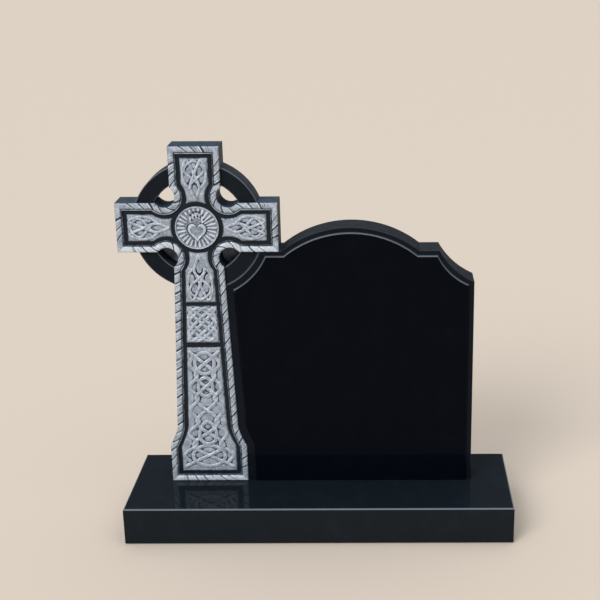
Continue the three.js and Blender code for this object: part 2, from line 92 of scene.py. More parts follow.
def polished_granite(name, dark, fleck, roughness, specular, mask=None):
    """Polished fine black granite. Its ground is nearly black in grains of 1.6 mm, with a few
    paler feldspar flecks; the surface is glassy, with a faint haze left by the polishing heads.
    `mask` makes, from the object's place, a mask for the arrises that are painted grey: a ground arris's
    own grey, laid on where it also stands for a painted highlight."""
    material = bpy.data.materials.new(name)
    material.use_nodes = True
    material.node_tree.nodes.clear()
    place = add_node(material, "ShaderNodeTexCoord").outputs["Object"]
    grain = add_node(material, "ShaderNodeTexVoronoi", [("Vector", place)],
                     {"Scale": 1 / granite_grain}, feature="F1")
    grey = add_node(material, "ShaderNodeSeparateColor", [("Color", grain.outputs["Color"])])
    cloud = add_node(material, "ShaderNodeTexNoise", [("Vector", place)],
                     {"Scale": 1 / granite_cloud, "Detail": 3.0, "Roughness": 0.6})
    tone = add_node(material, "ShaderNodeMath",
                    [(0, grey.outputs["Red"]), (1, cloud.outputs["Fac"])], operation="MULTIPLY")
    colour = add_node(material, "ShaderNodeValToRGB", [("Fac", tone.outputs[0])])
    colour_steps(colour, [(0.0, dark), (0.42, dark), (0.62, fleck)])
    haze = add_node(material, "ShaderNodeTexNoise", [("Vector", place)],
                    {"Scale": 1 / polish_haze, "Detail": 4.0, "Roughness": 0.65})
    gloss = add_node(material, "ShaderNodeMapRange", [("Value", haze.outputs["Fac"])],
                     {"From Min": 0.3, "From Max": 0.7, "To Min": roughness * 0.75,
                      "To Max": roughness * 1.35})
    finish = colour.outputs["Color"]
    if mask:
        ground = add_node(material, "ShaderNodeMix",
                          [("Factor", mask(material, place)), ("A", finish)],
                          {"B": linear(arris_grey_and_highlight)}, data_type="RGBA")
        finish = ground.outputs["Result"]
    shader = add_node(material, "ShaderNodeBsdfPrincipled",
                      [("Base Color", finish), ("Roughness", gloss.outputs["Result"])],
                      {"IOR": 1.5, "Specular IOR Level": specular})
    add_node(material, "ShaderNodeOutputMaterial", [("Surface", shader.outputs["BSDF"])])
    return material


def top_arris_highlight(material, place):
    """1 on the base's top arrises, which carry a painted highlight, and 0 elsewhere: on such a 45 degree
    chamfer, the drop below the top and the distance in from a side add up to the chamfer's own width,
    and no more."""
    axes = add_node(material, "ShaderNodeSeparateXYZ", [("Vector", place)])
    drops = []
    for axis, half in (("X", base_high.x), ("Y", base_high.y)):
        side = add_node(material, "ShaderNodeMath", [(0, axes.outputs[axis])], operation="ABSOLUTE")
        inward = add_node(material, "ShaderNodeMath", [(1, side.outputs[0])], {0: half},
                          operation="SUBTRACT")
        drops.append(inward.outputs[0])
    nearest = add_node(material, "ShaderNodeMath", [(0, drops[0]), (1, drops[1])],
                       operation="MINIMUM")
    fall = add_node(material, "ShaderNodeMath", [(1, axes.outputs["Z"])], {0: base_top},
                    operation="SUBTRACT")
    both = add_node(material, "ShaderNodeMath", [(0, nearest.outputs[0]), (1, fall.outputs[0])],
                    operation="ADD")
    chamfer = add_node(material, "ShaderNodeMath", [(0, both.outputs[0])],
                       {1: base_arris + slack}, operation="LESS_THAN")
    return chamfer.outputs[0]


# Only the top arrises are grey: a ground chamfer's grey kept where it faces up, as a painted highlight;
# the upright arrises stay black.
base_granite = polished_granite("polished_black_granite_base", "#141b21", "#1d262e", 0.07, 0.12,
                                top_arris_highlight)
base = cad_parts["base"]
base.data.materials.clear()
base.data.materials.append(base_granite)

# The wing slab: the broad plain part of the headstone, sawn with an arch, two steps and a hollow
# shoulder. A raised panel stands on a sunk margin behind a bevel, all polished black, and the
# sawn edges round it are honed.
stone_low, stone_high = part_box("headstone")
face_y = stone_low.y
wing_thickness = stone_high.y - face_y
cross_half_span = 203.5 * MM
axis_x = stone_low.x + cross_half_span
cross_top = stone_high.z - base_top
wing_reach = stone_high.x - axis_x
centre = 702 * MM
arm_half = 63.5 * MM
shaft_foot_half = 80.5 * MM
foot_half = 101.5 * MM
flare_top = 158 * MM
flare_foot = 102 * MM
ring_outer = 165 * MM
ring_sunk = 11 * MM
margin_sunk = 6 * MM
panel_sunk = 1.5 * MM
wing_step = 640 * MM
wing_arch_rise = 61 * MM
wing_arch_radius = 281 * MM
wing_arch_centre = 384.5 * MM
wing_step_end = 609.5 * MM
shoulder_drop = 83.5 * MM
shoulder_hollow = 20 * MM
margin_width = 12 * MM
bevel_width = 3.5 * MM
bevel_round = 0.85 * bevel_width
bevel_round_sunk = 0.25 * MM
panel_ring_gap = 18 * MM
panel_shaft_gap = 20 * MM
arris = 1.2 * MM
ring_seat = ring_outer - 1.5 * MM
margin_ring = ring_outer + 2.6 * MM
panel_ring = ring_outer + panel_ring_gap
# A gap below zero: the slab runs on in behind the cross's shaft.
behind_cross = -8 * MM
# As an outline moves in, the ends of its hollow curves move along by these shares of the inset.
flare_shift = 0.18
hollow_shift_in = 0.33
hollow_shift_down = 0.6
# The flare's control point lies this share of the way out from the shaft to the foot block.
flare_bow = 0.28


def on_face(points, depth):
    """Face points (x from the cross's axis, z over the base) at a depth behind the face's crest,
    as points in space."""
    x, z = points[..., 0], points[..., 1]
    depth = np.broadcast_to(depth, x.shape)
    return np.stack([axis_x + x, face_y + depth, base_top + z], axis=-1)


def arc(x, z, radius, start, stop, count):
    """A circle's arc: the centre plus the radius turned through equal angles."""
    angle = np.linspace(start, stop, count)
    return np.stack([x + radius * np.cos(angle), z + radius * np.sin(angle)], axis=-1)


def straight(first, last, count):
    """A straight stretch: the weighted mean of its two ends."""
    t = np.linspace(0, 1, count)[:, None]
    return (1 - t) * np.array(first) + t * np.array(last)


def bent(first, control, last, count):
    """A parabola's arc: two ends and a control point weighted as (1-t)^2, 2t(1-t) and t^2."""
    t = np.linspace(0, 1, count)[:, None]
    weights = ((1 - t) ** 2, 2 * t * (1 - t), t ** 2)
    return sum(weight * np.array(point) for weight, point in zip(weights, (first, control, last)))


def flare(inset, count=12):
    """The hollow curve from the shaft out to the foot block, moved in by `inset`: a parabola's
    arc whose control point is near the shaft, halfway down."""
    upper = np.array([shaft_foot_half - inset, flare_top - flare_shift * inset])
    lower = np.array([foot_half - inset, flare_foot - flare_shift * inset])
    control = np.array([(1 - flare_bow) * upper[0] + flare_bow * lower[0], (upper[1] + lower[1]) / 2])
    return bent(upper, control, lower, count)


def closed_loop(stretches):
    """Joins stretches end to end into one closed loop, each without its last point."""
    return np.concatenate([stretch[:-1] for stretch in stretches])


def smooth(low, high, value):
    """Rises from 0 at `low` to 1 at `high` along 3t^2 - 2t^3."""
    t = np.clip((value - low) / (high - low), 0, 1)
    return t * t * (3 - 2 * t)


def faces_between(rows, columns, wrap_rows=False):
    """Quads of a grid of rows by columns, closed across the columns and, if asked, the rows."""
    index = np.arange(rows * columns).reshape(rows, columns)
    here = index if wrap_rows else index[:-1]
    below = np.roll(index, -1, axis=0) if wrap_rows else index[1:]
    quads = np.stack([here, np.roll(here, -1, axis=1), np.roll(below, -1, axis=1), below], axis=-1)
    return quads.reshape(-1, 4)


def end_caps(rows, columns):
    """The two flat faces that close such a grid's first and last rows."""
    return [range(columns)[::-1], range((rows - 1) * columns, rows * columns)]


def stone_piece(name, points, quads, caps, finishes, sharp=0.3, values=None):
    """A piece of the headstone from its points, quads and flat caps. It is smooth but for edges
    sharper than `sharp` radians, and may carry a value per point for its material. `finishes` is
    one finish for all of it, or one for each row of quads and then for each cap."""
    mesh = bpy.data.meshes.new(name)
    mesh.from_pydata(points.reshape(-1, 3).tolist(), [], quads.tolist() + [list(cap) for cap in caps])
    kinds = []
    for finish in finishes:
        if finish not in kinds:
            kinds.append(finish)
            mesh.materials.append(finish)
    if len(kinds) > 1:
        rows = len(finishes) - len(caps)
        sizes = [len(quads) // rows] * rows + [1] * len(caps)
        chosen = np.repeat([kinds.index(finish) for finish in finishes], sizes)
        mesh.polygons.foreach_set("material_index", chosen.astype(np.int32))
    if values is not None:
        attribute = mesh.attributes.new("tone_and_painted_light", "FLOAT", "POINT")
        attribute.data.foreach_set("value", values.ravel().astype(np.float32))
    mesh.shade_smooth()
    mesh.set_sharp_from_angle(angle=sharp)
    piece = bpy.data.objects.new(name, mesh)
    bpy.context.collection.objects.link(piece)
    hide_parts("headstone")
    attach(piece, "root")


def wing_loop(inset, ring_radius, shaft_gap):
    """The wing's outline, clockwise from its foot at the shaft: up beside the shaft, round the
    ring, along the step, over the arch, the second step, the hollow shoulder and down the side."""
    step = wing_step - inset
    radius = wing_arch_radius - inset
    middle = wing_step + wing_arch_rise - wing_arch_radius
    lift = np.arcsin((step - middle) / radius)
    flank = arm_half + shaft_gap
    ring_foot = [flank, centre - np.sqrt(ring_radius ** 2 - flank ** 2)]
    ring_step = [np.sqrt(ring_radius ** 2 - (step - centre) ** 2), step]
    angles = [np.arctan2(p[1] - centre, p[0]) for p in (ring_foot, ring_step)]
    side = flare(-shaft_gap)[::-1]
    arch = arc(wing_arch_centre, middle, radius, np.pi - lift, lift, 72)
    upper = np.array([wing_step_end - hollow_shift_in * inset, step])
    lower = np.array([wing_reach - inset, wing_step - shoulder_drop - hollow_shift_down * inset])
    chord = (lower - upper) / np.linalg.norm(lower - upper)
    hollow = (upper + lower) / 2 + shoulder_hollow * np.array([chord[1], -chord[0]])
    return closed_loop([
        straight([foot_half + shaft_gap, 0], side[0], 4), side, straight(side[-1], ring_foot, 60),
        arc(0, centre, ring_radius, angles[0], angles[1], 28), straight(ring_step, arch[0], 6), arch,
        straight(arch[-1], upper, 4), bent(upper, hollow, lower, 20),
        straight(lower, [wing_reach - inset, 0], 6),
        straight([wing_reach - inset, 0], [foot_half + shaft_gap, 0], 6)])


def panel_loop(inward):
    """The raised panel's outline, moved in over its bevel from the bevel's foot."""
    return wing_loop(margin_width + inward, panel_ring + inward, panel_shaft_gap + inward)


wing_rings = [
    on_face(panel_loop(bevel_width), panel_sunk),
    on_face(panel_loop(bevel_round), panel_sunk + bevel_round_sunk),
    on_face(panel_loop(0), margin_sunk),
    on_face(wing_loop(arris, margin_ring, behind_cross), margin_sunk),
    on_face(wing_loop(0, ring_outer, behind_cross), margin_sunk + arris),
    on_face(wing_loop(0, ring_seat, behind_cross), wing_thickness - arris),
    on_face(wing_loop(arris, ring_seat + arris, behind_cross), wing_thickness),
]
# Where the margin meets the ring it drops to the ring's face, not only by the arris.
outline = wing_loop(0, ring_outer, behind_cross)
near_ring = np.linalg.norm(outline - [0, centre], axis=1) < ring_outer + slack
wing_rings[4][near_ring, 1] = face_y + ring_sunk
wing_points = np.array(wing_rings)
honed_grain = 2.5 * MM
saw_bruise = 14 * MM


def honed_granite(name, low, high):
    """The same granite honed and not polished, as on the sawn edges: a fine dark grey grain of
    2.5 mm with a dull sheen, a little paler where the saw has bruised it."""
    material = bpy.data.materials.new(name)
    material.use_nodes = True
    material.node_tree.nodes.clear()
    place = add_node(material, "ShaderNodeTexCoord").outputs["Object"]
    grain = add_node(material, "ShaderNodeTexNoise", [("Vector", place)],
                     {"Scale": 1 / honed_grain, "Detail": 3.0, "Roughness": 0.7})
    bruise = add_node(material, "ShaderNodeTexNoise", [("Vector", place)],
                      {"Scale": 1 / saw_bruise, "Detail": 3.0, "Roughness": 0.6})
    both = add_node(material, "ShaderNodeMix",
                    [("A", grain.outputs["Fac"]), ("B", bruise.outputs["Fac"])], {"Factor": 0.5})
    colour = add_node(material, "ShaderNodeValToRGB", [("Fac", both.outputs["Result"])])
    colour_steps(colour, [(0.4, low), (0.6, high)])
    bump = add_node(material, "ShaderNodeBump", [("Height", grain.outputs["Fac"])],
                    {"Strength": 0.3, "Distance": 0.2 * MM})
    shader = add_node(material, "ShaderNodeBsdfPrincipled",
                      [("Base Color", colour.outputs["Color"]), ("Normal", bump.outputs["Normal"])],
                      {"Roughness": 0.6, "IOR": 1.5, "Specular IOR Level": 0.12})
    add_node(material, "ShaderNodeOutputMaterial", [("Surface", shader.outputs["BSDF"])])
    return material


def arris_highlight_mask(material, place):
    """The mask for a ground arris, from the piece's own attribute: 1 where it is painted grey, the
    arris's own grey and a painted highlight.
    """
    return add_node(material, "ShaderNodeAttribute", attribute_name="tone_and_painted_light").outputs["Fac"]


black_granite = polished_granite("polished_black_granite", "#070a12", "#0d121b", 0.06, 0.03)
highlit_arris_granite = polished_granite("eased_granite_arris_painted_highlight", "#070a12", "#0d121b", 0.2, 0.15, arris_highlight_mask)
sunk_granite = polished_granite("polished_sunk_granite", "#11171e", "#1a212a", 0.08, 0.06)
edge_granite = honed_granite("honed_granite_edges", "#191e23", "#282e35")
# The bevel is painted grey as a highlight where it faces up, high on the slab, where it would mirror the
# light from above, and stays black down the two upright sides. Where the margin drops to the ring the
# grey is laid all round, a ground edge's own grey and a painted highlight.
highlight_above = 500 * MM
bevel_foot_highlight = 0.25
outer_arris_highlight = 0.15
ring_edge_grey_and_highlight = 0.7
no_zero = 1e-9
onward = np.roll(outline, -1, axis=0) - outline
level = np.abs(onward[:, 0]) / (np.linalg.norm(onward, axis=1) + no_zero)
lit_upward = smooth(0.15, 0.4, level) * (outline[:, 1] > highlight_above)
wing_arris_highlight = np.zeros(wing_points.shape[:2])
wing_arris_highlight[:2] = lit_upward
wing_arris_highlight[2] = bevel_foot_highlight * lit_upward
wing_arris_highlight[3:5] = np.where(near_ring, ring_edge_grey_and_highlight, outer_arris_highlight * lit_upward)
stone_piece("wing_slab", wing_points, faces_between(*wing_arris_highlight.shape), end_caps(*wing_arris_highlight.shape),
            [highlit_arris_granite, highlit_arris_granite, sunk_granite, highlit_arris_granite, edge_granite, edge_granite,
             black_granite, black_granite], values=wing_arris_highlight)

# The ring: a flat hoop behind the arms of the cross, cut from the same block. Its face is polished
# and its edges honed, with a fine chamfer between, and below the arms a thin web closes it.
ring_inner = 123.5 * MM
ring_arris = 2.2 * MM
ring_steps = 160
# The chamfer is grey all round: a ground arris's own grey and a painted highlight.
chamfer_grey_and_highlight = 0.8
cross_thickness = 76 * MM
pocket_depth = 62 * MM
web_lap = 1 * MM
web_steps = 60
# The backs of cross, ring and web lie a hair apart, so that no two are in one plane.
back_step = 0.4 * MM
ring_back = cross_thickness - back_step
web_back = ring_back - back_step


def turned(profile, count):
    """A profile of (radius, depth) rows carried once round the middle of the cross."""
    profile = np.array(profile)
    angle = -np.linspace(0, 2 * np.pi, count, endpoint=False)
    x = profile[:, :1] * np.cos(angle)
    z = centre + profile[:, :1] * np.sin(angle)
    return on_face(np.stack([x, z], axis=-1), profile[:, 1:] * np.ones(count))


hoop = turned([
    [ring_inner + ring_arris, ring_sunk], [ring_outer - ring_arris, ring_sunk],
    [ring_outer, ring_sunk + ring_arris], [ring_outer, ring_back - arris],
    [ring_outer - arris, ring_back], [ring_inner + arris, ring_back],
    [ring_inner, ring_back - arris], [ring_inner, ring_sunk + ring_arris]], ring_steps)
ring_face = polished_granite("polished_ring_granite", "#161c23", "#232b34", 0.08, 0.06)
ring_edge = honed_granite("honed_granite_ring_edge", "#292f37", "#3c454e")
stone_piece("ring", hoop, faces_between(*hoop.shape[:2], wrap_rows=True), [],
            [ring_face, highlit_arris_granite, ring_edge, ring_edge, black_granite, ring_edge, ring_edge,
             highlit_arris_granite], values=np.full(hoop.shape[:2], chamfer_grey_and_highlight))
web_arc = arc(0, centre, ring_inner + web_lap, 0, -np.pi, web_steps)
web_points = np.array([on_face(web_arc, depth) for depth in (pocket_depth, web_back)])
# Painted light: the web lies deep in the shaded pocket, and its near-white colour stands in for the
# light that hardly reaches it.
web_painted_light_granite = honed_granite("honed_granite_web_painted_light", "#8e9aa7", "#b8c4d0")
stone_piece("pocket_web", web_points, faces_between(2, web_steps), end_caps(2, web_steps),
            [web_painted_light_granite, web_painted_light_granite, black_granite])

# The cross: the block's tall member, with a straight-sided shaft that widens to a foot block and
# round pits at the four armpits. Its sides are honed, and its face is cut back to a polished
# channel on which the carving stands.
pit_radius = 28 * MM
pit_offset = 80 * MM
channel_depth = 6.5 * MM
cross_ease = 0.3 * MM
cross_ease_drop = 1.5 * MM


def cross_runs(inset):
    """The cross's outline moved in by `inset`, clockwise from its top left corner, as one run of
    points for each stretch between square corners. A pit is an arc of its radius plus the inset,
    and the points lie 1.2 to 1.5 mm apart."""
    half = arm_half - inset
    span = cross_half_span - inset
    top = cross_top - inset
    radius = pit_radius + inset
    reach = np.sqrt(radius ** 2 - (pit_offset - half) ** 2)
    start = np.arctan2(reach, half - pit_offset)
    stop = 2 * np.pi - np.arctan2(pit_offset - half, reach)
    upper = arc(pit_offset, centre + pit_offset, radius, start, stop, 61)
    lower = arc(pit_offset, centre - pit_offset, radius, 2 * np.pi - stop, 2 * np.pi - start, 61)
    waist = flare(inset, 37)
    foot = [foot_half - inset, inset]
    right = [
        closed_loop([straight([half, top], upper[0], 91), upper,
                     straight(upper[-1], [span, centre + half], 81)]),
        straight([span, centre + half], [span, centre - half], 91)[:-1],
        closed_loop([straight([span, centre - half], lower[0], 81), lower,
                     straight(lower[-1], waist[0], 341), waist, straight(waist[-1], foot, 71)]),
    ]
    ends = [[span, centre + half], [span, centre - half], foot]
    right = [np.concatenate([run, [end]]) for run, end in zip(right, ends)]
    left = [run[::-1] * [-1, 1] for run in right[::-1]]
    bottom = straight(foot, [-foot[0], foot[1]], 151)
    crown = straight([-half, top], [half, top], 91)
    return [crown, *right, bottom, *left]


def cross_loop(inset):
    """The cross's whole outline moved in by `inset`, as one closed loop."""
    return closed_loop(cross_runs(inset))


cross_points = np.array([
    on_face(cross_loop(cross_ease), channel_depth),
    on_face(cross_loop(0), channel_depth - cross_ease_drop),
    on_face(cross_loop(0), cross_thickness - arris),
    on_face(cross_loop(arris), cross_thickness)])
cross_grid = cross_points.shape[:2]
channel_granite = polished_granite("polished_channel_granite", "#1e252d", "#29313b", 0.15, 0.1)
cross_edge = honed_granite("honed_granite_cross_edges", "#28323e", "#3f4b59")
stone_piece("cross", cross_points, faces_between(*cross_grid), end_caps(*cross_grid),
            [cross_edge, cross_edge, cross_edge, channel_granite, black_granite])

# The rope border: a cable moulding carved round the whole edge of the cross, stopped by a plain
# block at each square corner, with a fine fillet inside it. Chiselled granite, left light grey.
rope_width = 15 * MM
rope_pitch = 26 * MM
rope_slant = 14 * MM
rope_height = 3.9 * MM
rope_seat = 4.5 * MM
rope_power = 2.6
joint_half = 2.8 * MM
corner_block = 9 * MM
fillet_middle = 17.5 * MM
fillet_half = 1.5 * MM
fillet_height = 3.1 * MM
fillet_seat = 5.6 * MM
carving_root = channel_depth + 1 * MM
chisel_fleck = 4.5 * MM
chisel_wear = 18 * MM
chisel_peck = 2.2 * MM
# In the carving only edges sharper than about 70 degrees stay sharp.
carving_sharp = 1.2


def carved_granite(name):
    """Granite as the chisel leaves it: bruised grains scatter light, so it is pale and matt where it
    stands up. The piece's tone attribute gives its tone, 0 in the deepest cut and 1 on the brightest
    crest, and carries painted shade, dark in the cuts and hollows, and painted highlights on crests and
    slopes that face the light. The grains are drawn 4.5 mm across, so that they show."""
    material = bpy.data.materials.new(name)
    material.use_nodes = True
    material.node_tree.nodes.clear()
    place = add_node(material, "ShaderNodeTexCoord").outputs["Object"]
    tone_and_painted_light = add_node(material, "ShaderNodeAttribute", attribute_name="tone_and_painted_light")
    fleck = add_node(material, "ShaderNodeTexNoise", [("Vector", place)],
                     {"Scale": 1 / chisel_fleck, "Detail": 4.0, "Roughness": 0.75})
    worn = add_node(material, "ShaderNodeTexNoise", [("Vector", place)],
                    {"Scale": 1 / chisel_wear, "Detail": 3.0, "Roughness": 0.6})
    both = add_node(material, "ShaderNodeMath",
                    [(0, fleck.outputs["Fac"]), (1, worn.outputs["Fac"])], operation="ADD")
    shift = add_node(material, "ShaderNodeMapRange", [("Value", both.outputs[0])],
                     {"From Min": 0.6, "From Max": 1.4, "To Min": -0.34, "To Max": 0.34})
    tone = add_node(material, "ShaderNodeMath",
                    [(0, tone_and_painted_light.outputs["Fac"]), (1, shift.outputs["Result"])], operation="ADD")
    colour = add_node(material, "ShaderNodeValToRGB", [("Fac", tone.outputs[0])])
    colour_steps(colour, [(0.0, "#12161c"), (0.2, "#3b434e"), (0.45, "#848e9b"), (0.7, "#a6b0bd"),
                          (1.0, "#d6dee8")])
    pecked = add_node(material, "ShaderNodeTexNoise", [("Vector", place)],
                      {"Scale": 1 / chisel_peck, "Detail": 3.0, "Roughness": 0.65})
    bump = add_node(material, "ShaderNodeBump", [("Height", pecked.outputs["Fac"])],
                    {"Strength": 0.5, "Distance": 0.5 * MM})
    shader = add_node(material, "ShaderNodeBsdfPrincipled",
                      [("Base Color", colour.outputs["Color"]), ("Normal", bump.outputs["Normal"])],
                      {"Roughness": 0.72, "IOR": 1.5, "Specular IOR Level": 0.35})
    add_node(material, "ShaderNodeOutputMaterial", [("Surface", shader.outputs["BSDF"])])
    return material


grey_granite = carved_granite("chiselled_granite")
# Fine chisel strokes along the strands, as (strokes to a strand, phase).
streaks = [(3.7, 0.4), (5.3, 2.1), (7.9, 4.0), (11.3, 1.2), (13.6, 5.5)]


def rope_surface(place, inset, pitch, strands, number, rightward):
    """Depth and tone of the rope. `place` counts strands along a run, and `inset` is the distance from
    the edge. The section is a hump: the 2.6th root of 1 less |2x - 1| to the power 2.6. A strand leans
    up to its end, carries strokes that are a sum of sines, and dips to a groove where the next one
    starts. The tone carries painted light: the hump is paler on its crest, each groove is painted dark
    as shade, darker at some joints than at others, with a painted highlight on the lip before it, and
    runs that head left, along the lower edges, are painted paler."""
    part = place - np.floor(place)
    roped = smooth(-0.02, 0.02, place) * (1 - smooth(strands - 0.02, strands + 0.02, place))
    groove = np.minimum(part, 1 - part) * pitch
    nearest = np.round(place)
    joint = (nearest > 0) & (nearest < strands)
    dip = joint * (1 - smooth(0, joint_half, groove))
    lean = 0.5 * (0.5 - part)
    streak = sum(np.sin(2 * np.pi * waves * place + phase) for waves, phase in streaks) / len(streaks)
    swell = np.clip(1 - np.abs(2 * inset / rope_width - 1) ** rope_power, 0, 1) ** (1 / rope_power)
    hump = rope_height * swell * (1 - 0.75 * roped * dip)
    depth = rope_seat - hump - roped * swell * (lean + 0.25 * streak) * MM
    # Painted shade in each groove, and a painted highlight on the lip before it.
    groove_shade_share = (0.66 + 0.3 * np.sin(2.4 * nearest + number)) * joint
    groove_shade = groove_shade_share * (1 - smooth(0.8 * MM, 3 * MM, groove))
    lip_highlight = joint * np.exp(-(((1 - part) * pitch - 4.4 * MM) / (1.6 * MM)) ** 2)
    # Painted light: the crest paler than the sides, and the runs along the lower edges paler.
    tone = 0.4 + 0.26 * swell + 0.3 * smooth(0.3, 0.9, -rightward)
    return depth, tone + roped * (0.34 * lip_highlight + 0.8 * streak * swell - 0.95 * groove_shade)


def fillet_surface(inset, rightward):
    """Depth and tone of the fillet inside the rope: a half-round, the root of 1 - x^2. Its tone is
    painted light: dark at its foot as shade, paler on its crest, and paler still on the runs that head
    right, along the upper edges."""
    rise = np.sqrt(np.clip(1 - ((inset - fillet_middle) / fillet_half) ** 2, 0, 1))
    return fillet_seat - fillet_height * rise, 0.04 + rise * (0.2 + 0.46 * smooth(-0.2, 0.8, rightward))


# Places across the border: down in the channel, over the fillet, over the rope, down the edge.
across = np.concatenate([[19.1], [18.9, 18.2, 17.5, 16.8, 16.1, 15.7, 15.3],
                         np.linspace(14.9, 0.1, 17), [0.1]]) * MM
inset = across[:, None]
runs = [cross_runs(place) for place in across]
rope_rows = []
rope_tones = []
for number, middle in enumerate(cross_runs(rope_width / 2)):
    points = np.stack([run[number][:-1] for run in runs])
    step = np.diff(middle, axis=0)
    length = np.linalg.norm(step, axis=1)
    along = np.concatenate([[0], np.cumsum(length)])
    strands = max(1, round((along[-1] - 2 * corner_block) / rope_pitch))
    pitch = (along[-1] - 2 * corner_block) / strands
    slant = rope_slant * (rope_width / 2 - inset) / rope_width
    place = (along[None, :-1] - corner_block + slant) / pitch
    rightward = (step[:, 0] / (length + no_zero))[None, :]
    rope_depth, rope_tone = rope_surface(place, inset, pitch, strands, number, rightward)
    fillet_depth, fillet_tone = fillet_surface(inset, rightward)
    depth = np.where(inset <= rope_width, rope_depth, fillet_depth)
    tone = np.where(inset <= rope_width, rope_tone, fillet_tone)
    depth[[0, -1]] = carving_root
    # The rows down in the channel are painted dark as shade.
    tone[[0, -1]] = 0.15
    rope_rows.append(on_face(points, np.maximum(depth, 0.0)))
    rope_tones.append(tone)
rope_points = np.concatenate(rope_rows, axis=1)
stone_piece("rope_border", rope_points, faces_between(*rope_points.shape[:2], wrap_rows=True), [],
            [grey_granite], carving_sharp, np.concatenate(rope_tones, axis=1))

# The carved panels: one on each arm, one on the upper shaft, a square and a long one below. Each
# is a raised field of pale chiselled granite with bands of interlace, the holes between cut deep.
panel_inset = 29 * MM
panel_ground = 2.7 * MM
panel_clear = 66 * MM
panel_edge = 3.5 * MM
panel_edge_drop = 2.2 * MM
pit_clear = pit_radius + panel_inset
square_top = 495 * MM
square_foot = 395 * MM
long_top = 382 * MM
bar_width = 10 * MM
band_width = 7 * MM
plait_width = 8.4 * MM
long_band_width = 9.6 * MM
band_crest = 0.95 * MM
band_rise = 0.75 * MM
hole_depth = 1.6 * MM
frame_margin = 4 * MM
panel_step = 0.76 * MM
strand_step = 1.1 * MM
points_at_once = 4000
# The way up and to the left, from which the painted light falls: slopes that face it are painted paler
# as a highlight.
painted_light_way = np.array([-0.5, 0.87])


def shaft_half(height):
    """Half the shaft's width at a height: straight from the arms' pits down to the flare, then
    the flare's curve out to the foot block."""
    low = flare(0)[::-1]
    heights = np.concatenate([[0], low[:, 1], [centre - pit_offset]])
    halves = np.concatenate([[foot_half], low[:, 0], [arm_half]])
    return np.interp(height, heights, halves)


def panel_half(distance, half):
    """Half the width of a panel at a distance from the middle of the cross: the arm's half less
    the border, or the gap that the round pits leave where that is less."""
    side = np.sqrt(np.clip(pit_clear ** 2 - (distance - pit_offset) ** 2, 0, None))
    return np.minimum(half - panel_inset, pit_offset - side)


def arm_sides(length):
    """Half an arm panel's width at a length out from the medallion's clearance."""
    return panel_half(length + panel_clear, arm_half)


def shaft_sides(length):
    """The same for the panel on the upper shaft, whose sides lean."""
    distance = length + panel_clear
    return panel_half(distance, shaft_half(centre - distance))


def loop(place):
    """A closed strand: `place` round a full turn of its angle, stepped evenly along its length."""
    line = place(np.linspace(0, 2 * np.pi, 1441))
    along = np.concatenate([[0], np.cumsum(np.linalg.norm(np.diff(line, axis=0), axis=1))])
    even = np.linspace(0, along[-1], int(along[-1] / strand_step), endpoint=False)
    return np.stack([np.interp(even, along, line[:, 0]), np.interp(even, along, line[:, 1])], axis=-1)


def ridge(angle):
    """A wave between a sine and a zigzag: the arcsine of 0.9 sin, scaled to reach 1."""
    return np.arcsin(0.9 * np.sin(angle)) / np.arcsin(0.9)


def zigzag(angle):
    """A zigzag from 0 to 1 and back in one turn: the arccosine of the cosine over half a turn."""
    return np.arccos(np.cos(angle)) / np.pi


def find_crossings(strands):
    """Where closed strands cross: pairs of short steps that each divide the other, which parallel
    ones never do. Returns each crossing's two visits as (strand, step)."""
    start = np.concatenate(strands)
    step = np.concatenate([np.roll(strand, -1, axis=0) - strand for strand in strands])
    owner = np.repeat(np.arange(len(strands)), [len(strand) for strand in strands])
    place = np.concatenate([np.arange(len(strand)) for strand in strands])
    count = np.array([len(strand) for strand in strands])[owner]
    gap = start[None, :] - start[:, None]
    turn = step[:, None, 0] * step[None, :, 1] - step[:, None, 1] * step[None, :, 0]
    turn = np.where(np.abs(turn) < 1e-15, np.inf, turn)
    u = (gap[..., 0] * step[None, :, 1] - gap[..., 1] * step[None, :, 0]) / turn
    v = (gap[..., 0] * step[:, None, 1] - gap[..., 1] * step[:, None, 0]) / turn
    apart = np.abs(place[:, None] - place[None, :])
    neighbours = (owner[:, None] == owner[None, :]) & ((apart <= 1) | (apart == count[:, None] - 1))
    later = np.arange(len(start))[:, None] < np.arange(len(start))[None, :]
    meet = (u >= 0) & (u < 1) & (v >= 0) & (v < 1) & later & ~neighbours
    return [((owner[a], place[a]), (owner[b], place[b])) for a, b in np.argwhere(meet)]


def weave(strands, rise, reach):
    """How far each sample of each strand is raised: over and under alternate along a strand, as a
    bell curve of +rise or -rise about every crossing."""
    crossings = find_crossings(strands)
    visits = [sorted((visit[1], number, side) for number, pair in enumerate(crossings)
                     for side, visit in enumerate(pair) if visit[0] == k) for k in range(len(strands))]
    over = {}
    waiting = list(range(len(strands)))
    while waiting:
        k = next((n for n in waiting if any((c, s) in over for _, c, s in visits[n])), waiting[0])
        waiting.remove(k)
        known = next((i for i, (_, c, s) in enumerate(visits[k]) if (c, s) in over), 0)
        first = over.get(visits[k][known][1:], True) if visits[k] else True
        for i, (_, crossing, side) in enumerate(visits[k]):
            above = over.setdefault((crossing, side), first if (i - known) % 2 == 0 else not first)
            over.setdefault((crossing, 1 - side), not above)
    lifts = []
    for k, strand in enumerate(strands):
        length = np.linalg.norm(np.roll(strand, -1, axis=0) - strand, axis=1)
        along = np.concatenate([[0], np.cumsum(length)[:-1]])
        lift = np.zeros(len(strand))
        for place, crossing, side in visits[k]:
            gap = np.abs(along - along[place])
            gap = np.minimum(gap, length.sum() - gap)
            lift += (1 if over[(crossing, side)] else -1) * np.exp(-(gap / reach) ** 2)
        lifts.append(rise * np.clip(lift, -1, 1))
    return lifts


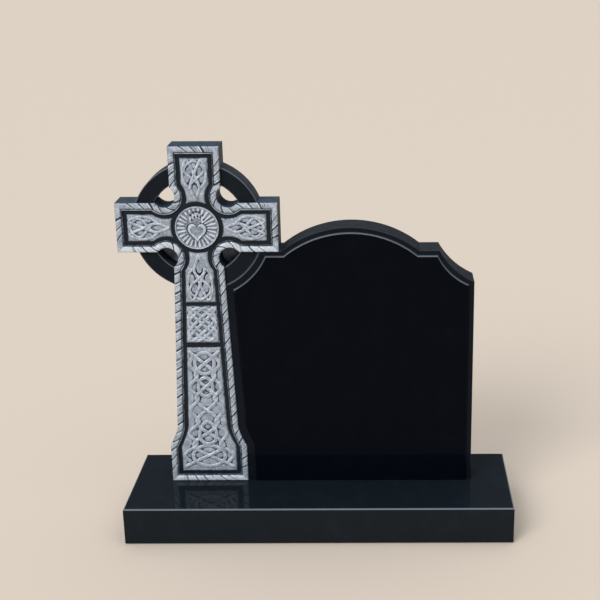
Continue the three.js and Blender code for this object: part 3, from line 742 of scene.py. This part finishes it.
def interlace(points, strands, width, facing, hole_shade):
    """Depth and tone of interlaced bands at points of a panel. A band's section is a flattened
    half-round about its strand with a fine groove along its middle, and the nearest, highest band shows.
    The ground is cut deeper where more than one strand's worth of samples lies about it, and painted
    darker there as shade, by an amount the panel gives. The tone is painted light and shade: darker the
    deeper it lies and in hollows, and paler, as a painted highlight, on slopes that fall away up and to
    the left, a way that `facing` gives as its shares along the grid's two axes."""
    lifts = np.concatenate(weave(strands, band_rise, 0.9 * width))
    samples = np.concatenate(strands)
    flat = points.reshape(-1, 2)
    depth = np.empty(len(flat))
    crowd = np.empty(len(flat))
    crest = band_crest - lifts
    spread = 1.25 * width
    for rows in np.array_split(np.arange(len(flat)), max(1, len(flat) // points_at_once)):
        gap = np.linalg.norm(flat[rows, None, :] - samples[None, :, :], axis=2)
        share = np.clip(gap / (width / 2), 0, 1)
        section = 1 - np.sqrt(1 - share ** 2.5) + 0.32 * np.exp(-(share / 0.26) ** 2)
        band = np.where(share < 1, crest + (panel_ground - crest) * section, panel_ground)
        depth[rows] = band.min(axis=1)
        crowd[rows] = np.exp(-(gap / spread) ** 2).sum(axis=1)
    depth = depth.reshape(points.shape[:-1])
    crowd = crowd.reshape(points.shape[:-1])
    inside = smooth(1.05, 1.6, crowd * strand_step / (np.sqrt(np.pi) * spread))
    ground = smooth(panel_ground - 0.5 * MM, panel_ground - 0.1 * MM, depth)
    depth = depth + hole_depth * inside * ground
    shifts = [(i, j) for i in (-3, 0, 3) for j in (-3, 0, 3)]
    around = sum(np.roll(depth, shift, axis=(0, 1)) for shift in shifts) / len(shifts)
    hollow = np.clip((depth - around) / MM, -1, 1)
    slope = sum(part * np.gradient(depth, panel_step, axis=axis) for axis, part in enumerate(facing))
    # Painted shade: darker the deeper it lies, in hollows and in the holes; the slope term is a painted
    # highlight on the side that faces the light.
    tone = 0.69 - 0.03 * depth / MM - 0.2 * hollow - hole_shade * inside * ground
    return depth, tone + 0.19 * np.clip(slope, -1, 1)


def carved_panel(name, inner, outer, half_at, dished, strands_in, width, hole_shade):
    """A panel from its inner to its outer end, on a grid along and across, with its edge rolled
    over and a skirt down into the channel. `strands_in` gives the strands for a function of
    (across from -1 to 1 of the half-width less a margin, along from 0 to 1)."""
    inner, outer = np.array(inner), np.array(outer)
    length = np.linalg.norm(outer - inner)
    heading = (outer - inner) / length
    side = np.array([heading[1], -heading[0]])
    widest = max(half_at(np.linspace(0, length, 40)))
    v = np.linspace(0, length, int(length / panel_step))[:, None]
    u = np.linspace(-1, 1, int(2 * widest / panel_step))[None, :]
    half = half_at(v)
    x = u * half
    y = v + dished(x) * (1 - v / length) ** 2
    points = inner + x[..., None] * side + y[..., None] * heading

    def place(a, b):
        """A strand's point: across times the half-width there, along times the length."""
        reach = half_at(b * length) - frame_margin
        return inner + (a * reach)[..., None] * side + (b * length)[..., None] * heading

    facing = [heading @ painted_light_way, side @ painted_light_way]
    depth, tone = interlace(points, strands_in(place), width, facing, hole_shade)
    edge = np.minimum(np.minimum(half - np.abs(x), v), length - v)
    rolled = 1 - smooth(0, panel_edge, edge)
    depth = depth + panel_edge_drop * rolled
    # The rolled edge is painted darker, as shade down towards the channel.
    tone = tone - 0.26 * rolled
    index = np.arange(depth.size).reshape(depth.shape)
    quads = np.stack([index[:-1, :-1], index[:-1, 1:], index[1:, 1:], index[1:, :-1]], axis=-1)
    rim = np.concatenate([index[0, :-1], index[:-1, -1], index[-1, :0:-1], index[:0:-1, 0]])
    root = depth.size + np.arange(len(rim))
    skirt = np.stack([np.roll(rim, -1), rim, root, np.roll(root, -1)], axis=-1)
    sunk = on_face(points.reshape(-1, 2)[rim], carving_root)
    # The skirt down into the channel is painted dark as shade.
    stone_piece(name, np.concatenate([on_face(points, depth).reshape(-1, 3), sunk]),
                np.concatenate([quads.reshape(-1, 4), skirt]), [root[::-1].tolist()],
                [grey_granite], carving_sharp,
                np.concatenate([tone.ravel(), np.full(len(rim), 0.1)]))


def arm_knot(place):
    """A pointed figure of eight along the arm, woven through loops that lie across it."""
    def eight(t):
        along = 0.05 + 0.9 * zigzag(t)
        return place((0.3 + 0.68 * along) * np.sin(2 * t), along)

    def corners(t):
        return place(0.95 * ridge(t), 0.63 + 0.32 * ridge(2 * t))
    return [loop(eight), loop(corners)]


def plait(place):
    """A plait of one endless band: both coordinates are zigzags, 5 and 4 to a turn."""
    def band(t):
        return place(0.96 * ridge(5 * t + 0.6 * np.pi), 0.5 + 0.44 * ridge(4 * t + np.pi / 2))
    return [loop(band)]


def long_knot(place):
    """One endless band that swings five times across from corner to corner, and returns in waves
    up the sides; an arch over each end, and a ring about two of the crossings."""
    def ring(width, height, reach):
        return loop(lambda t: place(width * np.cos(t), height + reach * np.sin(t)))
    down = np.linspace(0, 1, 900, endpoint=False)
    along = 0.965 - 0.93 * down
    corners = np.abs(2 * down - 1) ** 12
    swing = np.stack([(0.6 + 0.33 * corners) * np.cos(5 * np.pi * down), along], axis=-1)
    wave = 0.71 - 0.23 * np.cos(10 * np.pi * down)
    side = np.stack([wave + (0.93 - wave) * corners, along], axis=-1)
    route = np.concatenate([swing, (side * [-1, 1])[::-1], swing * [-1, 1], side[::-1], swing[:1]])
    turn = np.linspace(0, 2 * np.pi, len(route))

    def endless(angle):
        return place(np.interp(angle, turn, route[:, 0]), np.interp(angle, turn, route[:, 1]))
    return [loop(endless), ring(0.62, 0.875, 0.085), ring(0.62, 0.125, 0.085),
            ring(0.42, 0.686, 0.075), ring(0.42, 0.314, 0.09)]


def flat_end(x):
    """A square end: nothing is dished out of it."""
    return 0 * x


def round_end(x):
    """An end that follows the medallion: how far a circle's edge falls short of its crown."""
    return np.sqrt(panel_clear ** 2 - x ** 2) - panel_clear


crossing = np.array([0, centre])
arm_end = cross_half_span - panel_inset
top_end = cross_top - centre - panel_inset
shaft_end = centre - square_top - bar_width
for name, heading, reach, half_at, hole_shade in (
        ("panel_left", [-1, 0], arm_end, arm_sides, 0.2),
        ("panel_right", [1, 0], arm_end, arm_sides, 0.2),
        ("panel_top", [0, 1], top_end, arm_sides, 0.2),
        ("panel_shaft", [0, -1], shaft_end, shaft_sides, 0.6)):
    heading = np.array(heading)
    carved_panel(name, crossing + heading * panel_clear, crossing + heading * reach, half_at,
                 round_end, arm_knot, band_width, hole_shade)
carved_panel("panel_square", [0, square_foot], [0, square_top],
             lambda length: shaft_half(square_foot + length) - panel_inset,
             flat_end, plait, plait_width, 0.1)
carved_panel("panel_long", [0, panel_inset], [0, long_top],
             lambda length: shaft_half(panel_inset + length) - panel_inset,
             flat_end, long_knot, long_band_width, 0.24)

# The medallion at the crossing: a rimmed disc of the same stone, carved with rays about a heart
# that has a raised edge and a small crown of flames drilled with dots.
medallion_radius = 55 * MM
medallion_wall = medallion_radius - 0.2 * MM
medallion_ground = 3.2 * MM
medallion_root = 7.5 * MM
rim_width = 4 * MM
rim_rise = 2.7 * MM
heart_width = 46 * MM
heart_height = 47 * MM
heart_drop = 9.8 * MM
heart_rise = 1.9 * MM
heart_rim_rise = 1 * MM
ray_count = 26
ray_start = 29 * MM
ray_rise = 2.1 * MM
plain_rise = 0.4 * MM
flame_room = 12 * MM
flame_spacing = 7.5 * MM
flame_width = 4.6 * MM
flame_height = 12 * MM
flame_top = 33 * MM
flame_fall = 2.4 * MM
flame_rise = 2.4 * MM
dot_depth = 2.4 * MM
dots = ((0, 8 * MM), (3 * MM, -3 * MM))
radii = np.concatenate([np.linspace(0.4 * MM, medallion_wall, 96), [medallion_wall]])[:, None]
angles = -np.linspace(0, 2 * np.pi, 432, endpoint=False)[None, :]
x = radii * np.cos(angles)
z = radii * np.sin(angles)


def heart_share(x, z):
    """A point's distance from the heart's middle as a share of its edge's there. The edge is the
    curve of sine cubed across and 13 cos t - 5 cos 2t - 2 cos 3t - cos 4t up."""
    t = np.linspace(0, 2 * np.pi, 721)
    edge_x = heart_width / 2 * np.sin(t) ** 3
    edge_z = heart_height / 29 * (13 * np.cos(t) - 5 * np.cos(2 * t) - 2 * np.cos(3 * t) - np.cos(4 * t))
    edge_angle = np.arctan2(edge_z, edge_x)
    order = np.argsort(edge_angle)
    edge = np.interp(np.arctan2(z, x), edge_angle[order], np.hypot(edge_x, edge_z)[order])
    return np.hypot(x, z) / edge


share = heart_share(x, z + heart_drop)
inside_heart = 1 - smooth(0.96, 1.04, share)
heart_rim = inside_heart * smooth(0.66, 0.78, share)
# The rays are cut by eye, so their spacing wanders. They start further out under the flames, and
# nearer in on the upper right.
wobble = 0.12 * np.sin(3 * angles) + 0.1 * np.sin(7 * angles + 1)
ray = 0.5 + 0.5 * np.cos(ray_count * angles + wobble)
upper_right = smooth(0.2, 0.7, np.cos(angles)) * smooth(-0.3, 0.3, np.sin(angles))
ray_inner = ray_start + flame_room * smooth(0.7, 0.9, np.sin(angles)) + 3 * MM * np.sin(9 * angles)
ray_inner = ray_inner * (1 - 0.5 * upper_right)
from_rim = radii - medallion_radius
in_rays = smooth(0, 3 * MM, radii - ray_inner) * (1 - smooth(-rim_width - MM, -rim_width, from_rim))
ray_height = smooth(0.2, 0.75, ray)
rim = smooth(-rim_width - 0.6 * MM, -rim_width + 0.8 * MM, from_rim)
flames = np.zeros_like(x)
holes = np.zeros_like(x)
for number in range(-2, 3):
    flame_x = number * flame_spacing
    flame_z = flame_top - flame_fall * number ** 2
    flame = np.hypot((x - flame_x) / flame_width, (z - flame_z) / flame_height)
    flames = np.maximum(flames, 1 - smooth(0.6, 1.0, flame))
    for dot_x, dot_z in dots:
        hole = np.hypot(x - flame_x - dot_x, z - flame_z - dot_z)
        holes = np.maximum(holes, 1 - smooth(1.2 * MM, 3.2 * MM, hole))
depth = medallion_ground - ray_rise * in_rays * ray_height - plain_rise * (1 - in_rays)
depth = np.minimum(depth, medallion_ground - flame_rise * flames) + dot_depth * holes
heart = medallion_ground - heart_rise * inside_heart - heart_rim_rise * heart_rim
depth = np.where(share < 1.04, heart, depth)
depth = np.where(rim > 0, medallion_ground - rim_rise * rim, depth)
# The cuts are painted with shade, darkest on the upper right, and a halo of painted shade lies round the
# heart.
shade = 0.62 + 0.38 * np.cos(angles - np.radians(40))
# Painted light and shade: the rays' crests, the flames and the rims are paler, and the cuts between rays
# and the drilled dots are painted dark as shade.
tone = 0.4 + in_rays * (0.52 * ray_height - (0.16 + 0.5 * shade) * (1 - ray_height))
tone = np.maximum(tone, 0.4 + 0.42 * flames) - 0.8 * holes
heart_halo_shade = (0.3 + 0.35 * shade) * (1 - smooth(1.04, 1.22, share))
tone = np.where(share < 1.04, 0.5 + 0.36 * heart_rim, tone - heart_halo_shade)
tone = np.where(rim > 0, 0.36 + 0.36 * rim, tone)
# The outer edge drops into the channel and is painted dark as shade.
depth[-1] = medallion_root
tone[-1] = 0.1
stone_piece("medallion", on_face(np.stack([x, centre + z], axis=-1), depth),
            faces_between(*x.shape), end_caps(*x.shape), [grey_granite], carving_sharp, tone)

# The studio floor: a broad plain sweep, pale and matt.
floor_reach = 60
floor_mesh = bpy.data.meshes.new("floor")
floor_mesh.from_pydata([(-floor_reach, -floor_reach, 0), (floor_reach, -floor_reach, 0),
                        (floor_reach, floor_reach, 0), (-floor_reach, floor_reach, 0)],
                       [], [(0, 1, 2, 3)])
floor = bpy.data.objects.new("floor", floor_mesh)
bpy.context.collection.objects.link(floor)
paper = bpy.data.materials.new("matt_paper")
paper.use_nodes = True
paper.node_tree.nodes.clear()
sheet = add_node(paper, "ShaderNodeBsdfPrincipled", [],
                 {"Base Color": linear("#c8bcae"), "Roughness": 0.95, "Specular IOR Level": 0.1})
add_node(paper, "ShaderNodeOutputMaterial", [("Surface", sheet.outputs["BSDF"])])
floor_mesh.materials.append(paper)

# Soft studio light: a dim surround, a bright ceiling that the upward bevels mirror, and a broad
# soft key from above on the left, which rakes across the carving.
world = bpy.data.worlds.new("studio")
bpy.context.scene.world = world
world.use_nodes = True
world.node_tree.nodes.clear()
sky = add_node(world, "ShaderNodeTexCoord").outputs["Generated"]
height = add_node(world, "ShaderNodeSeparateXYZ", [("Vector", sky)]).outputs["Z"]
ceiling = add_node(world, "ShaderNodeMapRange", [("Value", height)],
                   {"From Min": 0.5, "From Max": 0.9, "To Min": 0.14, "To Max": 1.85},
                   interpolation_type="SMOOTHSTEP")
glow = add_node(world, "ShaderNodeBackground", [("Strength", ceiling.outputs["Result"])],
                {"Color": linear("#f7f9fc")})
add_node(world, "ShaderNodeOutputWorld", [("Surface", glow.outputs["Background"])])
key = bpy.data.lights.new("key", "SUN")
key.energy = 1.9
key.angle = np.radians(30)
key_lamp = bpy.data.objects.new("key", key)
key_lamp.rotation_euler = Vector((0.5, 0.72, -0.62)).to_track_quat("-Z", "Y").to_euler()
bpy.context.collection.objects.link(key_lamp)

# The camera: in front and to the right of the cross, a little above the stone, looking down.
look_down = 18.189
roll = 0.204
camera_data = bpy.data.cameras.new("camera")
camera_data.sensor_width = 36
camera_data.lens = 70.39
camera_data.shift_x = -0.1434
camera_data.shift_y = 0.0013
camera = bpy.data.objects.new("camera", camera_data)
camera.location = (0.1780, -2.8522, 1.5451)
camera.rotation_euler = np.radians([90 - look_down, roll, 0])
bpy.context.collection.objects.link(camera)
bpy.context.scene.camera = camera
bpy.context.scene.view_settings.view_transform = "Standard"
